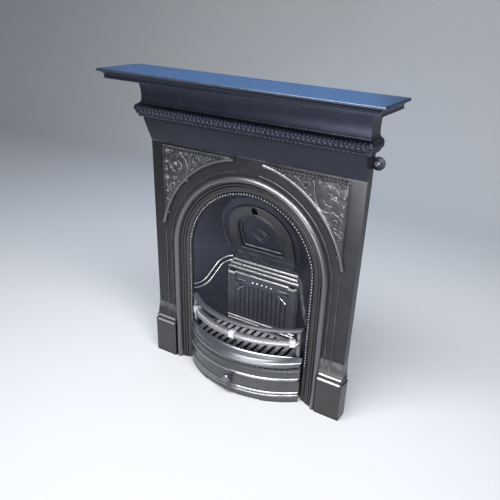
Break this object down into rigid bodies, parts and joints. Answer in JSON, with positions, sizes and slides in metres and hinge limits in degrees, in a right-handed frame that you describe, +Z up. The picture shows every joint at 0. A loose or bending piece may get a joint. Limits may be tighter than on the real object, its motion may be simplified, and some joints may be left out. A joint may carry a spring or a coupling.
{
  "type": "cast iron fireplace",
  "caption": "Arched cast iron bedroom fireplace with mantel shelf, moulded front, splayed fire chamber, register flap, bowed fire bars, lift-out grate and pull-off ash cover.",
  "frame": {"origin": "middle of the footprint of the whole object, on the hearth", "axes": "+X across the front to the viewer's right, +Y from the room towards the chimney, +Z up; the front faces -Y"},
  "size_m": [0.965, 0.322, 1.105],
  "materials": {
    "blacked_iron": "blacked and polished with graphite",
    "chamber_iron": "blacked, duller and a little rough",
    "polished_iron": "burnished bright on the high places",
    "steel": "dull steel"
  },
  "bodies": {
    "surround": {"front_casting": "blacked_iron", "cornice": "blacked_iron", "mantel_shelf": "blacked_iron", "insert_frame": "blacked_iron", "hood": "chamber_iron", "register_plate": "chamber_iron", "flap_rod": "steel", "left_cheek": "chamber_iron", "right_cheek": "chamber_iron", "fireback": "chamber_iron", "throat_ledge": "polished_iron", "hearth_lip": "polished_iron", "cornice_bolts": "steel", "shelf_bolts": "steel", "insert_bolts": "steel", "chamber_bolts": "steel", "plate_bolts": "steel", "lip_bolts": "steel"},
    "flap": {"register_flap": "chamber_iron"},
    "grate": {"fire_grate": "chamber_iron"},
    "bars": {"front_bars": "blacked_iron"},
    "cover": {"ash_cover": "blacked_iron", "ash_knob": "polished_iron", "knob_screw": "steel"},
    "pan": {"ash_pan": "steel"}
  },
  "joints": [
    {"name": "flap_hinge", "type": "hinge", "parent": "surround", "child": "flap", "pos_m": [0, 0.1335, 0.50197], "axis": [-1, 0, 0], "range_deg": [0, 60]},
    {"name": "grate_lift", "type": "slide", "parent": "surround", "child": "grate", "axis": [0, 0, 1], "range_m": [0, 0.05]},
    {"name": "bars_lift", "type": "slide", "parent": "surround", "child": "bars", "axis": [0, 0, 1], "range_m": [0, 0.1]},
    {"name": "cover_pull", "type": "slide", "parent": "surround", "child": "cover", "axis": [0, -1, 0], "range_m": [0, 0.2]},
    {"name": "pan_pull", "type": "slide", "parent": "surround", "child": "pan", "axis": [0, -1, 0], "range_m": [0, 0.2]}
  ],
  "couplings": [
    {"joint": "pan_pull", "follows": "cover_pull", "ratio": 1}
  ]
}
